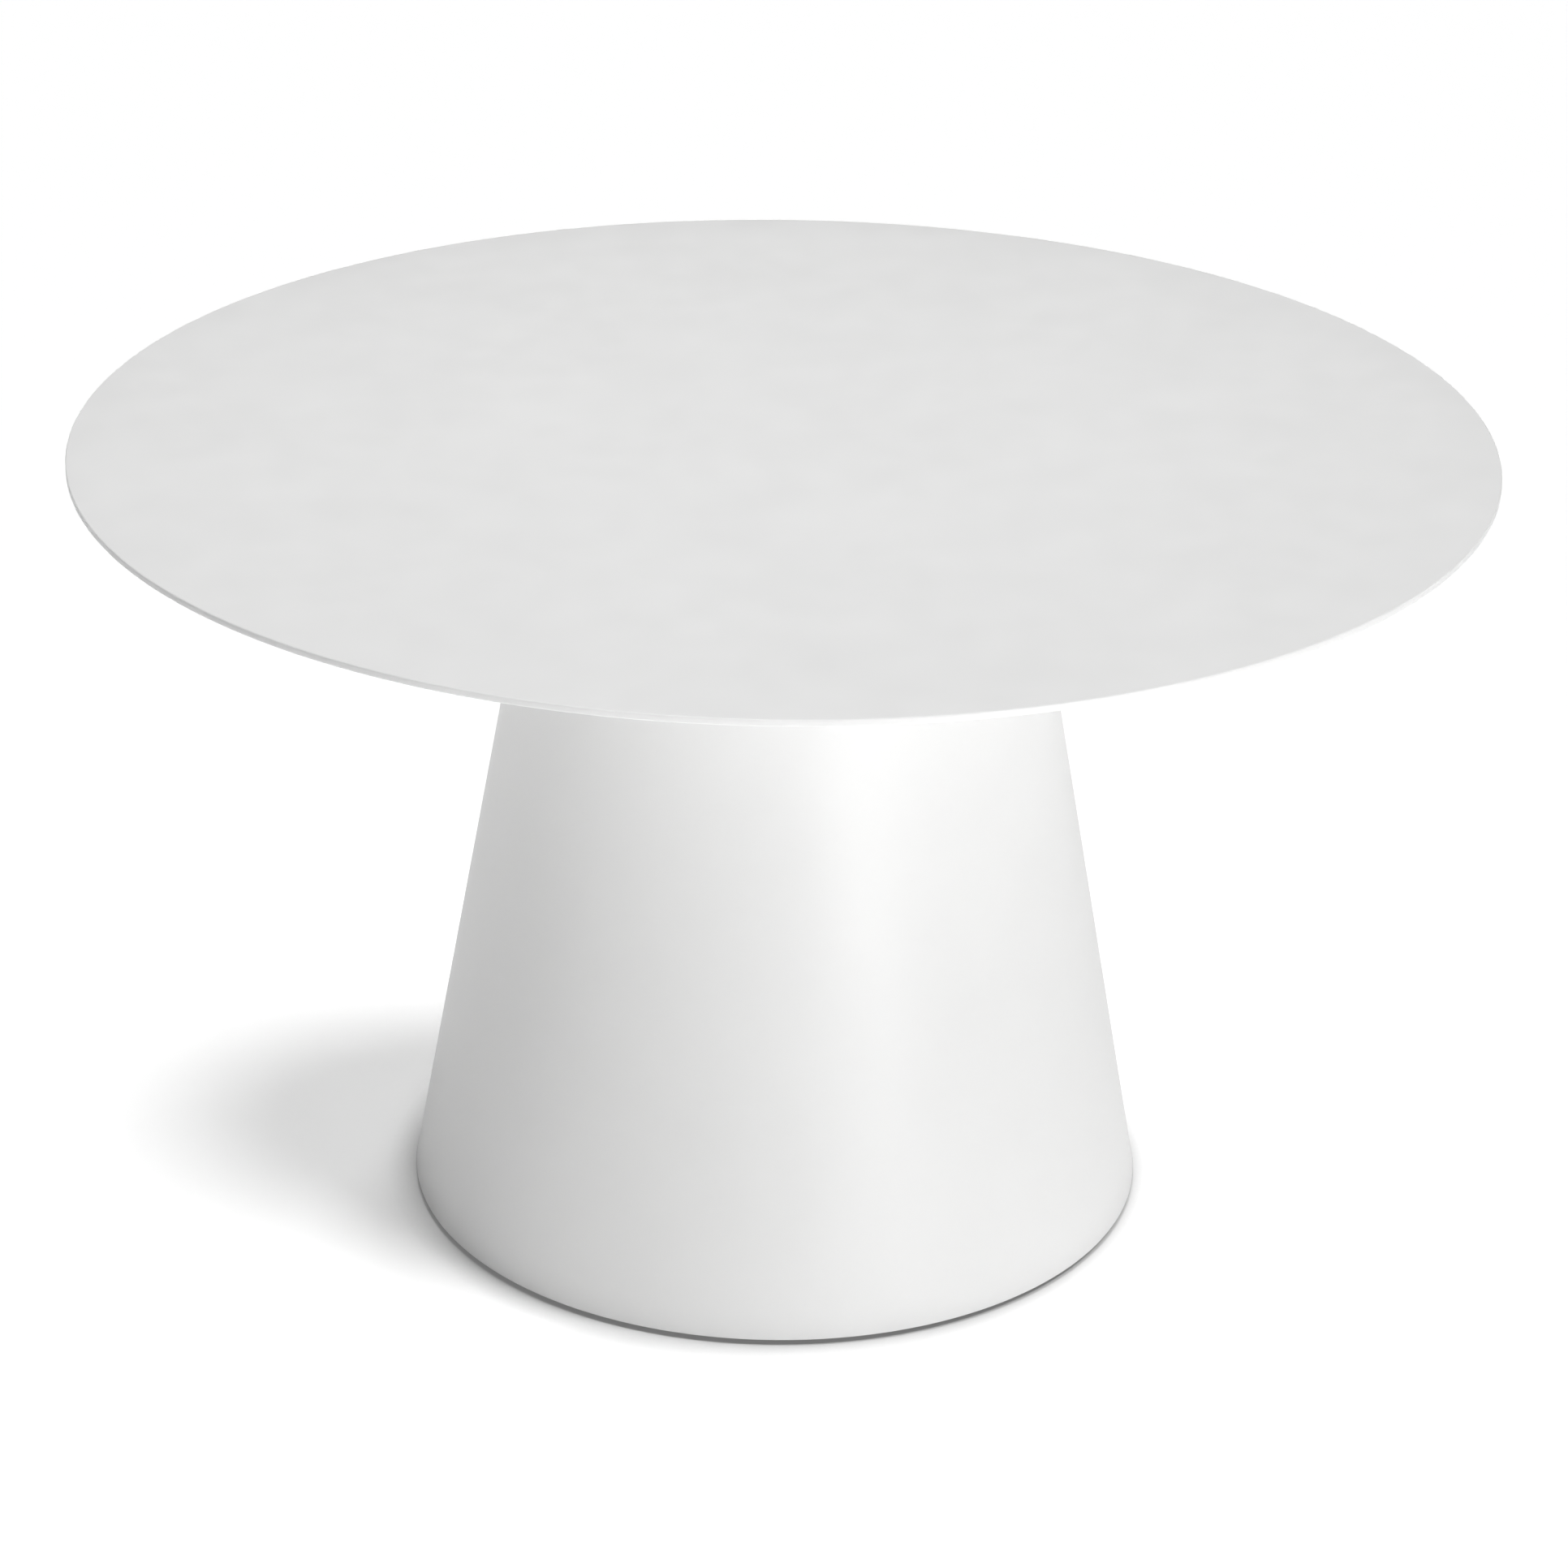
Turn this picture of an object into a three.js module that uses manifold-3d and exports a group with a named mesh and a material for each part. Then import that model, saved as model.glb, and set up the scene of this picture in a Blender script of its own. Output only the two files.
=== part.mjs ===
// Round pedestal table: a bevelled disc top on a hollow cone of rolled sheet steel.
//
// The cone is one weldment: the rolled shell, a neck plate with gussets at its top, and a foot ring with
// weld nuts at its bottom. The top is bolted to the neck plate from inside the cone, into threaded inserts.
// Six levelling glides screw into the weld nuts, and the table stands on their nylon pads.
//
// Millimetres, +Z up. The origin is on the floor, on the axis of the cone.
import * as THREE from "three";
import { mergeVertices } from "three/addons/utils/BufferGeometryUtils.js";
import Module from "manifold-3d";

// ---------------------------------------------------------------- driving dimensions

const TABLE_HEIGHT = 737;
const TOP_DIAMETER = 1270;
const BASE_DIAMETER = 686; // outside of the shell at its lower edge
const NECK_DIAMETER = 426; // outside of the shell at its upper edge

const TOP_THICKNESS = 28;
const RIM_HEIGHT = 6; // upright part of the rim, above the bevel
const RIM_BEVEL_WIDTH = 90; // how far the bevel under the rim runs inwards
const RIM_ARRIS = 1.2; // radius of the rim's rounded corners

const SHEET_THICKNESS = 2;
const SHADOW_GAP = 5; // the shell's lower edge stands this far above the floor
const FIT_GAP = 0.3; // between pieces that are welded, screwed or pressed together

const SPOKE_COUNT = 6; // bolts, gussets and glides are each spaced this many to a circle

const NECK_PLATE_THICKNESS = 5;
const NECK_PLATE_OPENING_RADIUS = 60;
const GUSSET_THICKNESS = 4;
const GUSSET_HEIGHT = 90;
const GUSSET_INNER_RADIUS = 150;
const GUSSET_TOE = 12; // width of the gusset's two blunt ends

const FOOT_RING_THICKNESS = 6;
const FOOT_RING_INNER_RADIUS = 270;

const BOLT_CIRCLE_RADIUS = 165;
const BOLT_RADIUS = 4; // M8
const BOLT_LENGTH = 20;
const BOLT_CHAMFER = 0.8;
const BOLT_HOLE_RADIUS = 4.5;
const BOLT_HEAD_RADIUS = 7;
const BOLT_HEAD_HEIGHT = 4.4;
const BOLT_HEAD_CROWN_RADIUS = 3.8; // the flat on the head, around the socket
const BOLT_HEAD_EDGE = 1.2; // upright edge of the head, under its dome
const SOCKET_ACROSS_FLATS = 5;
const SOCKET_DEPTH = 2.6;
const WASHER_RADIUS = 8;
const WASHER_THICKNESS = 1.6;
const INSERT_RADIUS = 6;
const INSERT_LENGTH = 16;
const INSERT_POCKET_DEPTH = 17;

const GLIDE_CIRCLE_RADIUS = 305;
const GLIDE_TRAVEL = 12; // how far each glide can be screwed down
const STUD_RADIUS = 5; // M10
const STUD_CHAMFER = 1;
const STUD_HOLE_RADIUS = 5.5;
const STUD_FLANGE_RADIUS = 8;
const STUD_FLANGE_BOTTOM = 2.5;
const STUD_FLANGE_THICKNESS = 2.2;
const SPANNER_ACROSS_FLATS = 17; // the stud's collar and the weld nut
const COLLAR_BOTTOM = 8.5;
const COLLAR_THICKNESS = 4;
const WELD_NUT_HEIGHT = 8;
const PAD_RADIUS = 20;
const PAD_RIM_HEIGHT = 4;
const PAD_EDGE = 1.5; // bevel round the sole
const PAD_HUB_RADIUS = 10.5;
const PAD_SHOULDER_HEIGHT = 5.5; // where the pad's sloping top meets its hub
const PAD_HEIGHT = 8;

// ---------------------------------------------------------------- how finely circles are drawn

const TOP_SEGMENTS = 120;
const SHELL_SEGMENTS = 96;
const OPENING_SEGMENTS = 36;
const PAD_SEGMENTS = 24;
const FASTENER_SEGMENTS = 16;
const ARC_STEPS = 3;

// ---------------------------------------------------------------- sizes that follow

const TOP_UNDERSIDE = TABLE_HEIGHT - TOP_THICKNESS;
const SHELL_HEIGHT = TOP_UNDERSIDE - SHADOW_GAP;
const SHELL_SLOPE = (BASE_DIAMETER - NECK_DIAMETER) / 2 / SHELL_HEIGHT;
const SHEET_WIDTH = SHEET_THICKNESS * Math.hypot(1, SHELL_SLOPE); // the sheet's thickness, cut level
const NECK_PLATE_BOTTOM = TOP_UNDERSIDE - NECK_PLATE_THICKNESS;
const FOOT_RING_BOTTOM = COLLAR_BOTTOM + COLLAR_THICKNESS + FIT_GAP;
const FOOT_RING_TOP = FOOT_RING_BOTTOM + FOOT_RING_THICKNESS;
const STUD_TOP = FOOT_RING_TOP + WELD_NUT_HEIGHT + GLIDE_TRAVEL;
const CUTTER_OVERRUN = 1; // how far a cutter reaches past the face that it cuts

const shellOuterRadius = (height) => BASE_DIAMETER / 2 - (height - SHADOW_GAP) * SHELL_SLOPE;
const shellInnerRadius = (height) => shellOuterRadius(height) - SHEET_WIDTH;

// ---------------------------------------------------------------- materials

const finish = (color, roughness, metalness) =>
  new THREE.MeshStandardMaterial({ color, roughness, metalness });

const lacquer = finish(0xf1f1f0, 0.5, 0);
const powderCoat = finish(0xf4f4f3, 0.45, 0);
const zincPlate = finish(0xbfc2c6, 0.35, 0.9);
const zincAlloy = finish(0xa9a59c, 0.45, 0.9);
const nylon = finish(0x232325, 0.6, 0);

// ---------------------------------------------------------------- shapes

// A solid turned about +Z from [radius, height] points, which run from bottom to top along its outside.
function turned(profile, segments) {
  const points = profile.map(([radius, height]) => new THREE.Vector2(radius, height));
  return new THREE.LatheGeometry(points, segments).rotateX(Math.PI / 2);
}

// Points round a circle.
function circle(radius, segments, centreX = 0, centreY = 0) {
  return Array.from({ length: segments }, (_, i) => {
    const angle = (2 * Math.PI * i) / segments;
    return new THREE.Vector2(centreX + radius * Math.cos(angle), centreY + radius * Math.sin(angle));
  });
}

const hexagon = (acrossFlats) => circle(acrossFlats / Math.sqrt(3), 6);

// A plate that stands on z = 0, from an outline and its holes.
function plate(outline, holes, thickness) {
  const shape = new THREE.Shape(outline);
  for (const hole of holes) shape.holes.push(new THREE.Path(hole));
  return new THREE.ExtrudeGeometry(shape, { depth: thickness, bevelEnabled: false });
}

// [radius, height] points along an arc of an ellipse, from one angle to the other, in degrees.
function arc([centreRadius, centreHeight], [width, height], fromAngle, toAngle) {
  return Array.from({ length: ARC_STEPS + 1 }, (_, i) => {
    const angle = THREE.MathUtils.degToRad(fromAngle + ((toAngle - fromAngle) * i) / ARC_STEPS);
    return [centreRadius + width * Math.cos(angle), centreHeight + height * Math.sin(angle)];
  });
}

// ---------------------------------------------------------------- cutting and joining

const MERGE_TOLERANCE = 1e-4;
const wasm = await Module();
wasm.setup();

function toSolid(geometry) {
  const bare = geometry.clone();
  bare.deleteAttribute("normal");
  bare.deleteAttribute("uv");
  const merged = mergeVertices(bare, MERGE_TOLERANCE);
  const vertProperties = new Float32Array(merged.attributes.position.array);
  const triVerts = new Uint32Array(merged.index.array);
  return new wasm.Manifold(new wasm.Mesh({ numProp: 3, vertProperties, triVerts }));
}

function toGeometry(solid) {
  const { vertProperties, triVerts } = solid.getMesh();
  const geometry = new THREE.BufferGeometry();
  geometry.setAttribute("position", new THREE.BufferAttribute(vertProperties, 3));
  geometry.setIndex(new THREE.BufferAttribute(triVerts, 1));
  geometry.computeVertexNormals();
  return geometry;
}

// ---------------------------------------------------------------- places round the axis

const group = new THREE.Group();

function add(name, geometry, material, parent = group) {
  const mesh = new THREE.Mesh(geometry, material);
  mesh.name = name;
  parent.add(mesh);
  return mesh;
}

// A turned group for each place round the axis. A phase of half puts the places between the whole ones.
function spokes(phase) {
  return Array.from({ length: SPOKE_COUNT }, (_, i) => {
    const spoke = new THREE.Group();
    spoke.rotation.z = (2 * Math.PI * (i + phase)) / SPOKE_COUNT;
    group.add(spoke);
    return spoke;
  });
}

// Adds one copy of a piece on each spoke, at a radius and height, named name_1, name_2 and so on.
function addRound(name, geometry, material, phase, radius, height) {
  spokes(phase).forEach((spoke, i) => {
    const mesh = add(`${name}_${i + 1}`, geometry, material, spoke);
    mesh.position.set(radius, 0, height);
  });
}

const spokePoint = (radius, phase, i) => {
  const angle = (2 * Math.PI * (i + phase)) / SPOKE_COUNT;
  return [radius * Math.cos(angle), radius * Math.sin(angle)];
};

const BOLT_PHASE = 0.5;
const GUSSET_PHASE = 0;
const GLIDE_PHASE = 0;

// Outlines of the holes for the bolts or studs, one on each spoke.
const spokeHoles = (circleRadius, phase, holeRadius) =>
  Array.from({ length: SPOKE_COUNT }, (_, i) =>
    circle(holeRadius, FASTENER_SEGMENTS, ...spokePoint(circleRadius, phase, i)),
  );

// ---------------------------------------------------------------- the top

// The lacquered panel: a disc whose underside is bevelled up to a thin rim. Each insert has a blind pocket.
function tableTop() {
  const radius = TOP_DIAMETER / 2;
  const arris = [RIM_ARRIS, RIM_ARRIS];
  const lowerArris = [radius - RIM_ARRIS, TABLE_HEIGHT - RIM_HEIGHT + RIM_ARRIS];
  const upperArris = [radius - RIM_ARRIS, TABLE_HEIGHT - RIM_ARRIS];
  const bevelSlope = (TOP_THICKNESS - RIM_HEIGHT) / RIM_BEVEL_WIDTH;
  const bevelAngle = THREE.MathUtils.radToDeg(Math.atan(bevelSlope));
  const panel = turned(
    [
      [0, TOP_UNDERSIDE],
      [radius - RIM_BEVEL_WIDTH, TOP_UNDERSIDE],
      ...arc(lowerArris, arris, bevelAngle - 90, 0),
      ...arc(upperArris, arris, 0, 90),
      [0, TABLE_HEIGHT],
    ],
    TOP_SEGMENTS,
  );
  let solid = toSolid(panel);
  for (let i = 0; i < SPOKE_COUNT; i++) {
    const [x, y] = spokePoint(BOLT_CIRCLE_RADIUS, BOLT_PHASE, i);
    const outline = circle(INSERT_RADIUS + FIT_GAP, FASTENER_SEGMENTS, x, y);
    const pocket = plate(outline, [], INSERT_POCKET_DEPTH + CUTTER_OVERRUN);
    solid = solid.subtract(toSolid(pocket.translate(0, 0, TOP_UNDERSIDE - CUTTER_OVERRUN)));
  }
  return toGeometry(solid);
}

// A threaded sleeve, pressed into a pocket of the panel.
function threadedInsert() {
  const bore = BOLT_RADIUS + FIT_GAP;
  return turned(
    [
      [bore, 0],
      [INSERT_RADIUS, 0],
      [INSERT_RADIUS, INSERT_LENGTH],
      [bore, INSERT_LENGTH],
      [bore, 0],
    ],
    FASTENER_SEGMENTS,
  );
}

// ---------------------------------------------------------------- the cone

// Rolled sheet, open at both ends.
function pedestalShell() {
  return turned(
    [
      [shellInnerRadius(SHADOW_GAP), SHADOW_GAP],
      [shellOuterRadius(SHADOW_GAP), SHADOW_GAP],
      [shellOuterRadius(TOP_UNDERSIDE), TOP_UNDERSIDE],
      [shellInnerRadius(TOP_UNDERSIDE), TOP_UNDERSIDE],
      [shellInnerRadius(SHADOW_GAP), SHADOW_GAP],
    ],
    SHELL_SEGMENTS,
  );
}

// The disc that closes the cone's neck and carries the top.
function neckPlate() {
  const outline = circle(shellInnerRadius(TOP_UNDERSIDE) - FIT_GAP, SHELL_SEGMENTS);
  const opening = circle(NECK_PLATE_OPENING_RADIUS, OPENING_SEGMENTS);
  const holes = spokeHoles(BOLT_CIRCLE_RADIUS, BOLT_PHASE, BOLT_HOLE_RADIUS);
  return plate(outline, [opening, ...holes], NECK_PLATE_THICKNESS);
}

// An upright web in the corner between the neck plate and the shell.
function gusset() {
  const top = NECK_PLATE_BOTTOM;
  const bottom = top - GUSSET_HEIGHT;
  const outerTop = shellInnerRadius(top) - FIT_GAP;
  const outerBottom = shellInnerRadius(bottom) - FIT_GAP;
  const outline = [
    [GUSSET_INNER_RADIUS, top],
    [GUSSET_INNER_RADIUS, top - GUSSET_TOE],
    [outerBottom - GUSSET_TOE, bottom],
    [outerBottom, bottom],
    [outerTop, top],
  ].map(([radius, height]) => new THREE.Vector2(radius, height));
  return plate(outline, [], GUSSET_THICKNESS)
    .rotateX(Math.PI / 2)
    .translate(0, GUSSET_THICKNESS / 2, 0);
}

// The flat ring inside the cone's lower edge that carries the glides.
function footRing() {
  const outline = circle(shellInnerRadius(FOOT_RING_TOP) - FIT_GAP, SHELL_SEGMENTS);
  const opening = circle(FOOT_RING_INNER_RADIUS, SHELL_SEGMENTS);
  const holes = spokeHoles(GLIDE_CIRCLE_RADIUS, GLIDE_PHASE, STUD_HOLE_RADIUS);
  return plate(outline, [opening, ...holes], FOOT_RING_THICKNESS);
}

function weldNut() {
  const bore = circle(STUD_RADIUS + FIT_GAP, FASTENER_SEGMENTS);
  return plate(hexagon(SPANNER_ACROSS_FLATS), [bore], WELD_NUT_HEIGHT);
}

// ---------------------------------------------------------------- fasteners

// A button-head screw, head down, with its bearing face on z = 0.
function mountingBolt() {
  const domeCentre = [BOLT_HEAD_CROWN_RADIUS, -BOLT_HEAD_EDGE];
  const domeSize = [BOLT_HEAD_RADIUS - BOLT_HEAD_CROWN_RADIUS, BOLT_HEAD_HEIGHT - BOLT_HEAD_EDGE];
  const blank = turned(
    [
      [0, -BOLT_HEAD_HEIGHT],
      ...arc(domeCentre, domeSize, -90, 0),
      [BOLT_HEAD_RADIUS, 0],
      [BOLT_RADIUS, 0],
      [BOLT_RADIUS, BOLT_LENGTH - BOLT_CHAMFER],
      [BOLT_RADIUS - BOLT_CHAMFER, BOLT_LENGTH],
      [0, BOLT_LENGTH],
    ],
    FASTENER_SEGMENTS,
  );
  const socket = plate(hexagon(SOCKET_ACROSS_FLATS), [], SOCKET_DEPTH + CUTTER_OVERRUN);
  socket.translate(0, 0, -BOLT_HEAD_HEIGHT - CUTTER_OVERRUN);
  return toGeometry(toSolid(blank).subtract(toSolid(socket)));
}

function boltWasher() {
  const bore = BOLT_RADIUS + FIT_GAP;
  return turned(
    [
      [bore, 0],
      [WASHER_RADIUS, 0],
      [WASHER_RADIUS, WASHER_THICKNESS],
      [bore, WASHER_THICKNESS],
      [bore, 0],
    ],
    FASTENER_SEGMENTS,
  );
}

// ---------------------------------------------------------------- levelling glides

// The nylon foot. Its cavity holds the stud's flange, so that the stud can turn while the foot stays still.
function glidePad() {
  const neck = STUD_RADIUS + FIT_GAP;
  const cavity = STUD_FLANGE_RADIUS + FIT_GAP;
  const cavityBottom = STUD_FLANGE_BOTTOM - FIT_GAP;
  const cavityTop = STUD_FLANGE_BOTTOM + STUD_FLANGE_THICKNESS + FIT_GAP;
  return turned(
    [
      [0, 0],
      [PAD_RADIUS - PAD_EDGE, 0],
      [PAD_RADIUS, PAD_EDGE],
      [PAD_RADIUS, PAD_RIM_HEIGHT],
      [PAD_HUB_RADIUS, PAD_SHOULDER_HEIGHT],
      [PAD_HUB_RADIUS, PAD_HEIGHT],
      [neck, PAD_HEIGHT],
      [neck, cavityTop],
      [cavity, cavityTop],
      [cavity, cavityBottom],
      [0, cavityBottom],
    ],
    PAD_SEGMENTS,
  );
}

// The threaded stud, with the flange that the foot holds and a collar for a spanner.
function glideStud() {
  const flangeTop = STUD_FLANGE_BOTTOM + STUD_FLANGE_THICKNESS;
  const shank = turned(
    [
      [0, STUD_FLANGE_BOTTOM],
      [STUD_FLANGE_RADIUS, STUD_FLANGE_BOTTOM],
      [STUD_FLANGE_RADIUS, flangeTop],
      [STUD_RADIUS, flangeTop],
      [STUD_RADIUS, STUD_TOP - STUD_CHAMFER],
      [STUD_RADIUS - STUD_CHAMFER, STUD_TOP],
      [0, STUD_TOP],
    ],
    FASTENER_SEGMENTS,
  );
  const collar = plate(hexagon(SPANNER_ACROSS_FLATS), [], COLLAR_THICKNESS);
  collar.translate(0, 0, COLLAR_BOTTOM);
  return toGeometry(toSolid(shank).add(toSolid(collar)));
}

// ---------------------------------------------------------------- assembly

add("table_top", tableTop(), lacquer);
add("pedestal_shell", pedestalShell(), powderCoat);
add("neck_plate", neckPlate(), powderCoat).position.z = NECK_PLATE_BOTTOM;
add("foot_ring", footRing(), powderCoat).position.z = FOOT_RING_BOTTOM;

const washerBottom = NECK_PLATE_BOTTOM - WASHER_THICKNESS;
addRound("gusset", gusset(), powderCoat, GUSSET_PHASE, 0, 0);
addRound("weld_nut", weldNut(), powderCoat, GLIDE_PHASE, GLIDE_CIRCLE_RADIUS, FOOT_RING_TOP);
addRound("threaded_insert", threadedInsert(), zincAlloy, BOLT_PHASE, BOLT_CIRCLE_RADIUS, TOP_UNDERSIDE);
addRound("bolt_washer", boltWasher(), zincPlate, BOLT_PHASE, BOLT_CIRCLE_RADIUS, washerBottom);
addRound("mounting_bolt", mountingBolt(), zincPlate, BOLT_PHASE, BOLT_CIRCLE_RADIUS, washerBottom);
addRound("glide_pad", glidePad(), nylon, GLIDE_PHASE, GLIDE_CIRCLE_RADIUS, 0);
addRound("glide_stud", glideStud(), zincPlate, GLIDE_PHASE, GLIDE_CIRCLE_RADIUS, 0);

export default group;
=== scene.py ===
import math
import random

import bmesh
import bpy
from mathutils import Matrix, Vector


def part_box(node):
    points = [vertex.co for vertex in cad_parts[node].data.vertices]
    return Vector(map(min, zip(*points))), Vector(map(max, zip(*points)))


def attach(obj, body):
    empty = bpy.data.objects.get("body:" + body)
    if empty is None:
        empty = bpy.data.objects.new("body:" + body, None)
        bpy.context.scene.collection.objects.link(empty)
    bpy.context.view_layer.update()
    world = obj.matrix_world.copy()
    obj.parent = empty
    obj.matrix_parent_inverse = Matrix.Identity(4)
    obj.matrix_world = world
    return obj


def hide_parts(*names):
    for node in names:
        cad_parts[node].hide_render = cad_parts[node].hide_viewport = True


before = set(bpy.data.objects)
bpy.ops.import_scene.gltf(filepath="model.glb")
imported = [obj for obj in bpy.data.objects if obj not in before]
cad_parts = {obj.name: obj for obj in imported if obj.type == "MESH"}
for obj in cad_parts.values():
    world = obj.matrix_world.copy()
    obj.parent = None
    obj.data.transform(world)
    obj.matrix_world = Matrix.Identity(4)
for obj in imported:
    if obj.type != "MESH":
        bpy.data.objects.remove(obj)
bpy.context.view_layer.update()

# The looks of a round pedestal table: a lacquered disc top on a powder-coated cone of sheet steel.
# Everything is in metres, in the CAD model's frame. Places and outer sizes come from the CAD model.

MM = 0.001
TABLE_BODY = "table"
SPOKES = range(1, 7)
ON_Y_AXIS = 2  # the bolt, washer and insert on the Y axis, whose boxes show their full diameters

# ---------------------------------------------------------------- camera

CAMERA_DISTANCE = 4.175
CAMERA_ELEVATION = math.radians(24.52)
CAMERA_ROLL = math.radians(0.78)
CAMERA_TARGET = Vector((0.004, 0.0, 0.3935))
SENSOR_WIDTH = 36.0
FOCAL_LENGTH = 103.7
VIEW_DEPTH = 100.0  # how far the camera sees

# ---------------------------------------------------------------- how finely the surfaces are drawn

ROUND_SEGMENTS = 512
PLATE_SEGMENTS = 192
PAD_SEGMENTS = 72
HARDWARE_SEGMENTS = 24
HOLE_SEGMENTS = 32

# ---------------------------------------------------------------- measuring the frame

HEIGHT_TOLERANCE = 0.05 * MM  # closer than this, two heights or two radii of the CAD model are the same


def corners(node):
    """The corners of a CAD node's mesh."""
    return [v.co.copy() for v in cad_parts[node].data.vertices]


def radii_at(node, height):
    """The smallest and the largest radius about the table's axis of a CAD node's corners at a height."""
    found = [c.xy.length for c in corners(node) if abs(c.z - height) < HEIGHT_TOLERANCE]
    return min(found), max(found)


def axis_of(node):
    """The middle of a CAD node's box, seen from above, and the angle at which it stands round the table."""
    low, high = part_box(node)
    middle = (low.xy + high.xy) / 2
    return middle, math.atan2(middle.y, middle.x)


# ---------------------------------------------------------------- meshes from rings of points

SHARP_ANGLE = math.radians(32)


def turn(radius, height, angle):
    """The point at a radius, a height and an angle about Z."""
    return Vector((radius * math.cos(angle), radius * math.sin(angle), height))


def angles(segments):
    """Angles evenly spaced round a full turn."""
    return [2 * math.pi * i / segments for i in range(segments)]


def ring(radius, height, segments):
    """A ring of points about Z. radius and height are numbers or functions of the angle."""
    wide = radius if callable(radius) else lambda _: radius
    high = height if callable(height) else lambda _: height
    return [turn(wide(a), high(a), a) for a in angles(segments)]


def make_object(name, mesh):
    """A smooth-shaded object whose edges are sharp where its faces meet at a clear angle."""
    mesh.validate()
    for polygon in mesh.polygons:
        polygon.use_smooth = True
    mesh.set_sharp_from_angle(angle=SHARP_ANGLE)
    made = bpy.data.objects.new(name, mesh)
    bpy.context.scene.collection.objects.link(made)
    return made


def from_bmesh(name, bm):
    """An object with a bmesh's faces, turned outwards."""
    bmesh.ops.recalc_face_normals(bm, faces=bm.faces)
    mesh = bpy.data.meshes.new(name)
    bm.to_mesh(mesh)
    bm.free()
    return make_object(name, mesh)


def add_skin(bm, rings, closed=False):
    """Adds a skin over rings of points. A ring of one point is a pole. A closed skin joins its ends."""
    rows = [[bm.verts.new(p) for p in points] for points in rings]
    pairs = list(zip(rows, rows[1:]))
    if closed:
        pairs.append((rows[-1], rows[0]))
    for lower, upper in pairs:
        count = max(len(lower), len(upper))
        for i in range(count):
            j = (i + 1) % count
            if len(lower) == 1:
                bm.faces.new((lower[0], upper[j], upper[i]))
            elif len(upper) == 1:
                bm.faces.new((lower[i], lower[j], upper[0]))
            else:
                bm.faces.new((lower[i], lower[j], upper[j], upper[i]))


def skin(name, rings, closed=False):
    """An object whose surface is one skin over rings of points."""
    bm = bmesh.new()
    add_skin(bm, rings, closed)
    return from_bmesh(name, bm)


def turned(name, profile, segments, closed=False):
    """A shape turned about Z from (radius, height) points. A radius of 0 is a pole."""
    rings = [[Vector((0, 0, z))] if r == 0 else ring(r, z, segments) for r, z in profile]
    return skin(name, rings, closed)


def arc(centre, radius, start, end, steps):
    """(radius, height) points along an arc of a circle, between two angles in degrees."""
    found = []
    for i in range(steps + 1):
        a = math.radians(start + (end - start) * i / steps)
        found.append((centre[0] + radius * math.cos(a), centre[1] + radius * math.sin(a)))
    return found


def spread(start, end, steps):
    """Points evenly spaced from start to end, both ends left out."""
    a, b = Vector(start), Vector(end)
    return [tuple(a.lerp(b, i / steps)) for i in range(1, steps)]


EDGE_STEPS = 2  # segments of a plate's eased edge


def plate(name, outline, holes, thickness, edge):
    """A flat plate that stands on z = 0, cut from an outline of (x, y) points, with its edges eased."""
    bm = bmesh.new()
    for loop in (outline, *holes):
        points = [bm.verts.new((x, y, 0)) for x, y in loop]
        for i, point in enumerate(points):
            bm.edges.new((point, points[(i + 1) % len(points)]))
    bmesh.ops.triangle_fill(bm, use_beauty=True, edges=bm.edges[:])
    raised = bmesh.ops.extrude_face_region(bm, geom=bm.faces[:])["geom"]
    raised_points = [part for part in raised if isinstance(part, bmesh.types.BMVert)]
    bmesh.ops.translate(bm, vec=(0, 0, thickness), verts=raised_points)
    bmesh.ops.recalc_face_normals(bm, faces=bm.faces)
    rims = [e for e in bm.edges if e.calc_face_angle(0) > SHARP_ANGLE]
    bmesh.ops.bevel(
        bm, geom=rims, offset=edge, segments=EDGE_STEPS, profile=0.5, affect="EDGES", clamp_overlap=True
    )
    return from_bmesh(name, bm)


def circle(radius, segments, centre=(0, 0)):
    """(x, y) points round a circle."""
    return [(centre[0] + radius * math.cos(a), centre[1] + radius * math.sin(a)) for a in angles(segments)]


def discard(piece):
    """Deletes an object and its mesh."""
    mesh = piece.data
    bpy.data.objects.remove(piece)
    bpy.data.meshes.remove(mesh)


def cut(piece, cutters):
    """Takes the cutters out of a piece, and deletes them."""
    for cutter in cutters:
        modifier = piece.modifiers.new("cut", "BOOLEAN")
        modifier.operation = "DIFFERENCE"
        modifier.solver = "EXACT"
        modifier.object = cutter
    graph = bpy.context.evaluated_depsgraph_get()
    mesh = bpy.data.meshes.new_from_object(piece.evaluated_get(graph))
    name = piece.name
    for used in (piece, *cutters):
        discard(used)
    return make_object(name, mesh)


# ---------------------------------------------------------------- threads and hexagons

THREAD_ROWS = 12  # rows of points in one turn of a thread
THREAD_ROOT = 0.15  # share of half a pitch that is the flat root
THREAD_FLANK = 0.65  # share of half a pitch that is the flank, between the root and the flat crest
THREAD_GAP = 0.08 * MM  # between an outside thread and the inside thread round it
BOLT_MAJOR = 3.95 * MM
BOLT_MINOR = 3.32 * MM
BOLT_PITCH = 1.25 * MM
STUD_MAJOR = 4.95 * MM
STUD_MINOR = 4.15 * MM
STUD_PITCH = 1.5 * MM
TIP_CHAMFER = 0.9 * MM  # length of the chamfer at the end of a thread
TIP_DROP = 0.3 * MM  # how far inside the thread's root the chamfer ends


def thread_radius(major, minor, pitch, height, angle):
    """The radius of a right-hand thread's surface at a height and an angle."""
    phase = (height / pitch - angle / (2 * math.pi)) % 1.0
    from_root = min(abs(phase - 0.5) / 0.5, 1.0)
    rise = min(max((from_root - THREAD_ROOT) / THREAD_FLANK, 0.0), 1.0)
    return minor + (major - minor) * rise


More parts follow.
